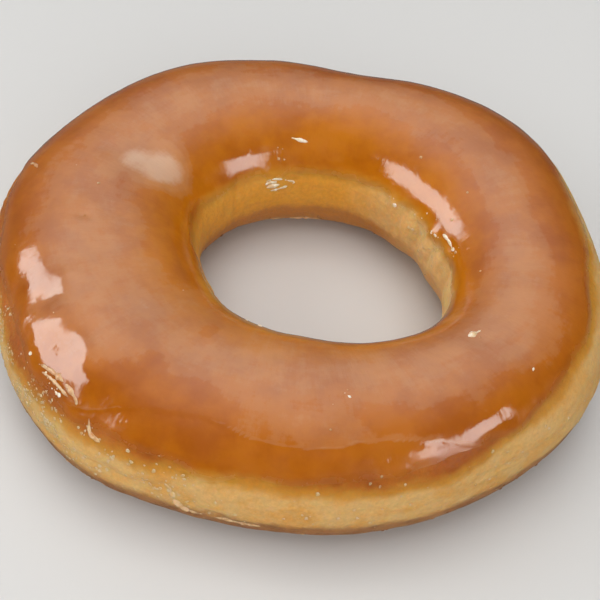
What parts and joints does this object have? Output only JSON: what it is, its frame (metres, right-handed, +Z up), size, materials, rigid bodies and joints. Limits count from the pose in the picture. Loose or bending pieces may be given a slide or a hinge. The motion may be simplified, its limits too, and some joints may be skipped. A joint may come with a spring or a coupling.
{
  "type": "glazed doughnut",
  "caption": "Glazed ring doughnut of fried yeast dough with an off-centre hole, lying on its flat browned underside.",
  "frame": {"origin": "middle of the box round the ring, at the height of the surface that it rests on", "axes": "+Z up through the hole, +X along the ring's longest side, to the right of the picture, and +Y away from its camera"},
  "size_m": [0.1036, 0.0936, 0.025],
  "materials": {
    "glazed_dough": "amber-brown fried dough under a clear, glossy sugar glaze with a cloudy film on the crown; pale tan band round the sides; matt brown underside"
  },
  "bodies": {
    "root": {"doughnut": "glazed_dough"}
  },
  "joints": []
}
